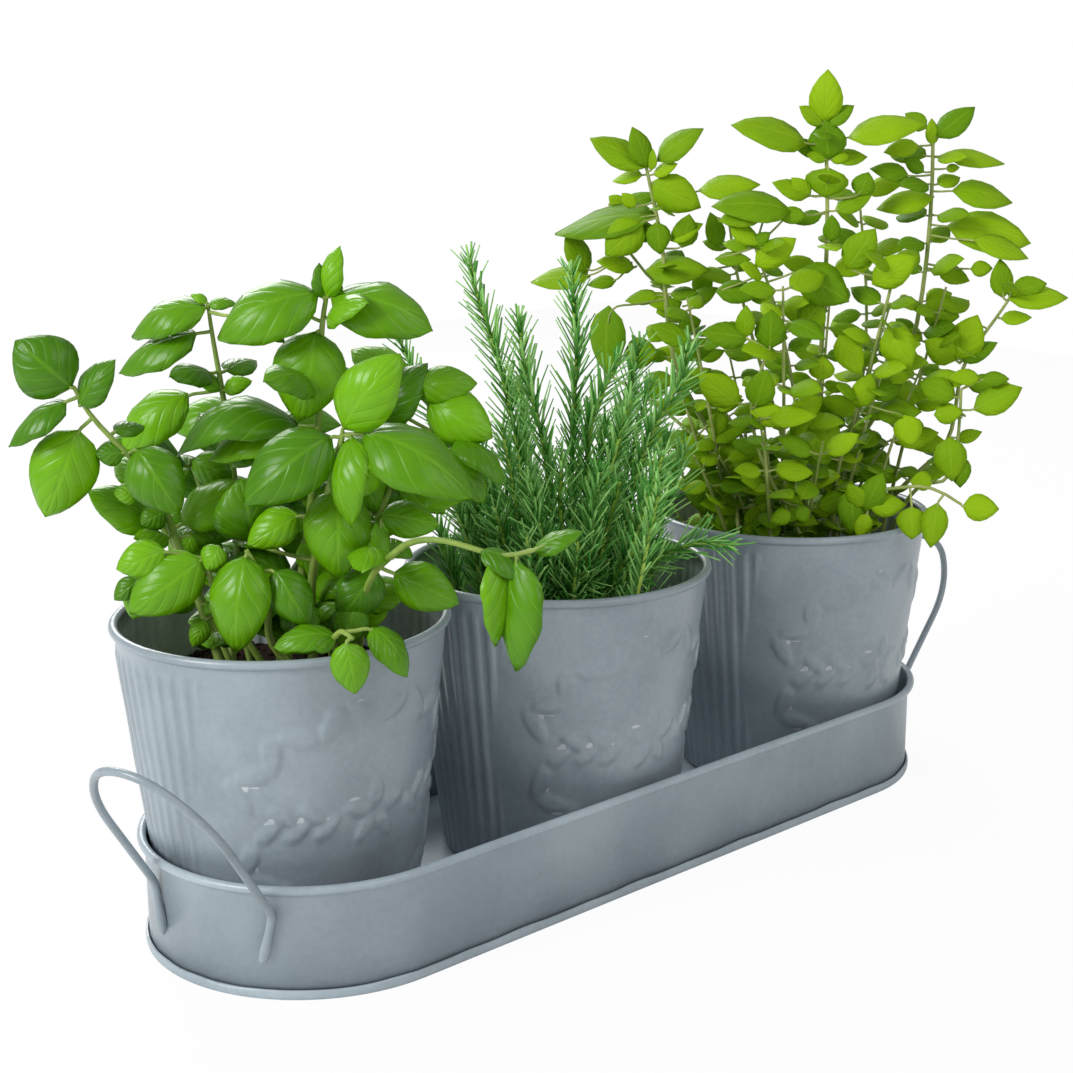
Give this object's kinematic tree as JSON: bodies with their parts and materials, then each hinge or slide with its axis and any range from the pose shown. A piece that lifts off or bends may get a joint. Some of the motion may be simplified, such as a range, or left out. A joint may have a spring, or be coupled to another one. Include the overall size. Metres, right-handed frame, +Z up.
{
  "type": "indoor herb planter",
  "caption": "Fluted sheet-metal herb pots standing in a long round-ended tray with wire handles, each pot lifting straight out.",
  "frame": {"origin": "middle of the tray's foot ring, on the surface that the planter stands on", "axes": "+X along the tray's length, -Y towards the plain side of the pots, +Z up"},
  "size_m": [0.463, 0.1893, 0.3151],
  "materials": {
    "paint": "satin grey-blue paint",
    "soil": "dark crumbly potting soil, matt",
    "basil_leaf": "soft glossy leaf",
    "rosemary_leaf": "matt needle leaf",
    "oregano_leaf": "soft satin leaf"
  },
  "bodies": {
    "tray": {"tray_wall": "paint", "tray_base": "paint", "wire_handles": "paint"},
    "left_pot": {"left_pot_shell": "paint", "left_pot_base": "paint", "left_soil": "soil", "basil_plant": "basil_leaf"},
    "middle_pot": {"middle_pot_shell": "paint", "middle_pot_base": "paint", "middle_soil": "soil", "rosemary_plant": "rosemary_leaf"},
    "right_pot": {"right_pot_shell": "paint", "right_pot_base": "paint", "right_soil": "soil", "oregano_plant": "oregano_leaf"}
  },
  "joints": [
    {"name": "left_pot_lift", "type": "slide", "parent": "tray", "child": "left_pot", "axis": [0, 0, 1], "range_m": [0, 0.15]},
    {"name": "middle_pot_lift", "type": "slide", "parent": "tray", "child": "middle_pot", "axis": [0, 0, 1], "range_m": [0, 0.15]},
    {"name": "right_pot_lift", "type": "slide", "parent": "tray", "child": "right_pot", "axis": [0, 0, 1], "range_m": [0, 0.15]}
  ]
}
